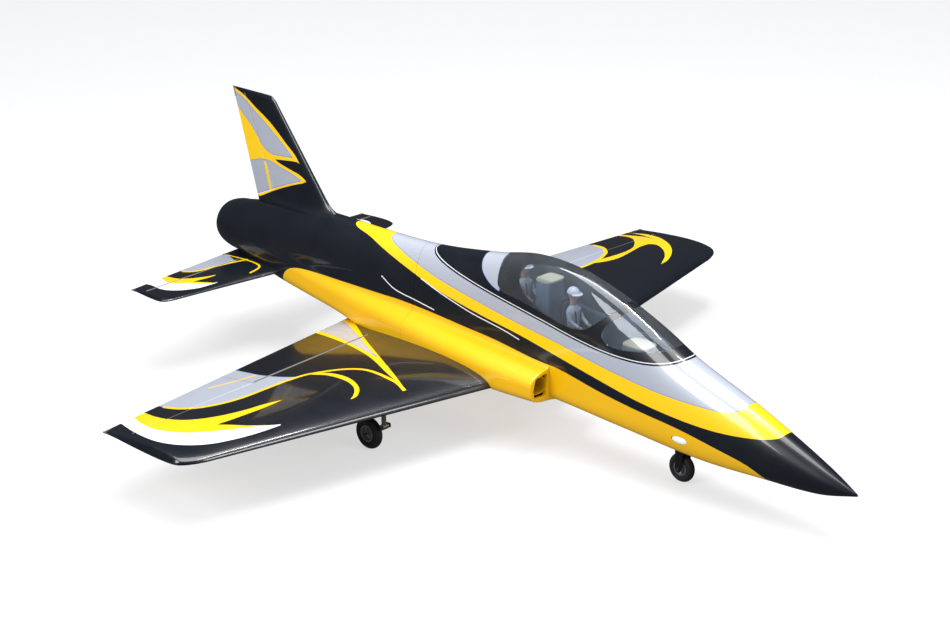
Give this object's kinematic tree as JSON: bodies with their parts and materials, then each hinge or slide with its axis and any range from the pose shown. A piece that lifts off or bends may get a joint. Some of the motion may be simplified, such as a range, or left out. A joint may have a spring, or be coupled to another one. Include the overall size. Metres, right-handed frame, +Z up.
{
  "type": "rc jet plane",
  "caption": "Radio controlled sport jet with ducted fan, side intakes, plug-in wings, working control surfaces, retracting trailing-link gear and lift-off clear canopy",
  "frame": {"origin": "on the ground at mid length, on the centre plane, with the jet standing on its wheels", "axes": "+Z up, nose towards -Y, +X to the pilots' left"},
  "size_m": [1.605, 1.77, 0.565],
  "materials": {
    "yellow_skin": "gloss lacquered composite skin",
    "black_skin": "gloss lacquered composite skin",
    "wing_skin": "balsa sheeting under gloss lacquered film with livery",
    "lens": "frosted clear lens",
    "dark_plastic": "moulded plastic",
    "grey_plastic": "moulded plastic",
    "anodised": "anodised",
    "thrust_liner": "rolled sheet",
    "plywood": "laser-cut birch plywood",
    "battery_wrap": "shrink-wrapped lithium cells",
    "carbon": "carbon fibre tube",
    "steel": "plain",
    "strut_metal": "satin",
    "black_metal": "black anodised",
    "wheel_hub": "satin",
    "tyre": "moulded rubber",
    "clear_canopy": "clear vacuum-formed sheet",
    "cockpit_plastic": "painted",
    "seat_plastic": "painted",
    "figure": "painted vinyl"
  },
  "bodies": {
    "airframe": {"front_fuselage": "yellow_skin", "rear_fuselage": "black_skin", "light_lenses": "lens", "intake_duct_left": "dark_plastic", "intake_duct_right": "dark_plastic", "fan_housing": "dark_plastic", "fan_motor": "anodised", "thrust_tube": "thrust_liner", "nose_former": "plywood", "battery_former": "plywood", "wing_tube_carrier": "plywood", "tail_former": "plywood", "equipment_tray": "plywood", "battery_packs": "battery_wrap", "speed_controller": "dark_plastic", "receiver": "dark_plastic", "servos": "dark_plastic", "wing_joiner_tube": "carbon", "wing_panel_left": "wing_skin", "wing_panel_right": "wing_skin", "wing_spars": "plywood", "wing_bolts": "steel", "hinge_pins": "steel", "fin": "wing_skin", "stab_left": "wing_skin", "stab_right": "wing_skin", "stab_joiner_tube": "carbon", "nose_retract_unit": "grey_plastic", "main_retract_units": "grey_plastic", "gear_pivot_pins": "steel"},
    "aileron_left": {"aileron_left": "wing_skin"},
    "aileron_right": {"aileron_right": "wing_skin"},
    "flap_left": {"flap_left": "wing_skin"},
    "flap_right": {"flap_right": "wing_skin"},
    "elevator_left": {"elevator_left": "wing_skin"},
    "elevator_right": {"elevator_right": "wing_skin"},
    "rudder": {"rudder": "wing_skin"},
    "fan": {"fan_rotor": "carbon"},
    "nose_leg": {"nose_leg": "strut_metal"},
    "nose_fork": {"nose_fork": "black_metal", "nose_axle": "steel"},
    "nose_wheel": {"nose_hub": "wheel_hub", "nose_tyre": "tyre"},
    "main_leg_left": {"main_leg_left": "strut_metal"},
    "main_link_left": {"main_link_left": "black_metal"},
    "main_wheel_left": {"main_hub_left": "wheel_hub", "main_tyre_left": "tyre"},
    "main_leg_right": {"main_leg_right": "strut_metal"},
    "main_link_right": {"main_link_right": "black_metal"},
    "main_wheel_right": {"main_hub_right": "wheel_hub", "main_tyre_right": "tyre"},
    "canopy_hatch": {"canopy_frame": "black_skin", "windshield": "clear_canopy", "canopy_glass": "clear_canopy", "cockpit_tub": "cockpit_plastic", "instrument_coamings": "cockpit_plastic", "seats": "seat_plastic", "front_pilot": "figure", "rear_pilot": "figure"}
  },
  "joints": [
    {"name": "aileron_left_hinge", "type": "hinge", "parent": "airframe", "child": "aileron_left", "pos_m": [0.452, 0.28989, 0.12956], "axis": [0.9978, -0.0651, 0.0155], "range_deg": [-20, 20], "stiffness_Nm_per_rad": 1.5},
    {"name": "aileron_right_hinge", "type": "hinge", "parent": "airframe", "child": "aileron_right", "pos_m": [-0.452, 0.28989, 0.12956], "axis": [0.9978, 0.0651, -0.0155], "range_deg": [-20, 20], "stiffness_Nm_per_rad": 1.5},
    {"name": "flap_left_hinge", "type": "hinge", "parent": "airframe", "child": "flap_left", "pos_m": [0.112, 0.31209, 0.12428], "axis": [-0.9978, 0.0651, -0.0155], "range_deg": [0, 45], "stiffness_Nm_per_rad": 1.5},
    {"name": "flap_right_hinge", "type": "hinge", "parent": "airframe", "child": "flap_right", "pos_m": [-0.112, 0.31209, 0.12428], "axis": [-0.9978, -0.0651, 0.0155], "range_deg": [0, 45], "stiffness_Nm_per_rad": 1.5},
    {"name": "elevator_left_hinge", "type": "hinge", "parent": "airframe", "child": "elevator_left", "pos_m": [0.066, 0.77816, 0.181], "axis": [0.9998, -0.0176, 0], "range_deg": [-20, 20], "stiffness_Nm_per_rad": 1.5},
    {"name": "elevator_right_hinge", "type": "hinge", "parent": "airframe", "child": "elevator_right", "pos_m": [-0.066, 0.77816, 0.181], "axis": [0.9998, 0.0176, 0], "range_deg": [-20, 20], "stiffness_Nm_per_rad": 1.5},
    {"name": "rudder_hinge", "type": "hinge", "parent": "airframe", "child": "rudder", "pos_m": [0, 0.71599, 0.35], "axis": [0, 0.3859, 0.9225], "range_deg": [-30, 30], "stiffness_Nm_per_rad": 1.5},
    {"name": "fan_spin", "type": "hinge", "parent": "airframe", "child": "fan", "pos_m": [0, 0.259, 0.238], "axis": [0, 1, 0], "continuous": true},
    {"name": "nose_retract", "type": "hinge", "parent": "airframe", "child": "nose_leg", "pos_m": [0, -0.475, 0.15], "axis": [-1, 0, 0], "range_deg": [0, 90], "stiffness_Nm_per_rad": 10, "springref_deg": -34.38},
    {"name": "nose_steer", "type": "hinge", "parent": "nose_leg", "child": "nose_fork", "pos_m": [0, -0.475, 0.1], "axis": [0, 0, 1], "range_deg": [-20, 20]},
    {"name": "nose_wheel_spin", "type": "hinge", "parent": "nose_fork", "child": "nose_wheel", "pos_m": [0, -0.467, 0.03], "axis": [1, 0, 0], "continuous": true},
    {"name": "main_left_retract", "type": "hinge", "parent": "airframe", "child": "main_leg_left", "pos_m": [0.3, 0.065, 0.13], "axis": [0, 1, 0], "range_deg": [0, 90], "stiffness_Nm_per_rad": 10, "springref_deg": -34.38},
    {"name": "main_left_link_swing", "type": "hinge", "parent": "main_leg_left", "child": "main_link_left", "pos_m": [0.3, 0.065, 0.058], "axis": [1, 0, 0], "range_deg": [0, 12], "stiffness_Nm_per_rad": 8, "springref_deg": -17.19},
    {"name": "main_left_wheel_spin", "type": "hinge", "parent": "main_link_left", "child": "main_wheel_left", "pos_m": [0.303, 0.106, 0.034], "axis": [1, 0, 0], "continuous": true},
    {"name": "main_right_retract", "type": "hinge", "parent": "airframe", "child": "main_leg_right", "pos_m": [-0.3, 0.065, 0.13], "axis": [0, -1, 0], "range_deg": [0, 90], "stiffness_Nm_per_rad": 10, "springref_deg": -34.38},
    {"name": "main_right_link_swing", "type": "hinge", "parent": "main_leg_right", "child": "main_link_right", "pos_m": [-0.3, 0.065, 0.058], "axis": [1, 0, 0], "range_deg": [0, 12], "stiffness_Nm_per_rad": 8, "springref_deg": -17.19},
    {"name": "main_right_wheel_spin", "type": "hinge", "parent": "main_link_right", "child": "main_wheel_right", "pos_m": [-0.303, 0.106, 0.034], "axis": [1, 0, 0], "continuous": true},
    {"name": "hatch_lift", "type": "slide", "parent": "airframe", "child": "canopy_hatch", "axis": [0, 0, 1], "range_m": [0, 0.15]}
  ],
  "couplings": [
    {"joint": "aileron_right_hinge", "follows": "aileron_left_hinge", "ratio": -1},
    {"joint": "flap_right_hinge", "follows": "flap_left_hinge", "ratio": 1},
    {"joint": "elevator_right_hinge", "follows": "elevator_left_hinge", "ratio": 1},
    {"joint": "main_right_retract", "follows": "main_left_retract", "ratio": 1},
    {"joint": "nose_retract", "follows": "main_left_retract", "ratio": 1}
  ]
}
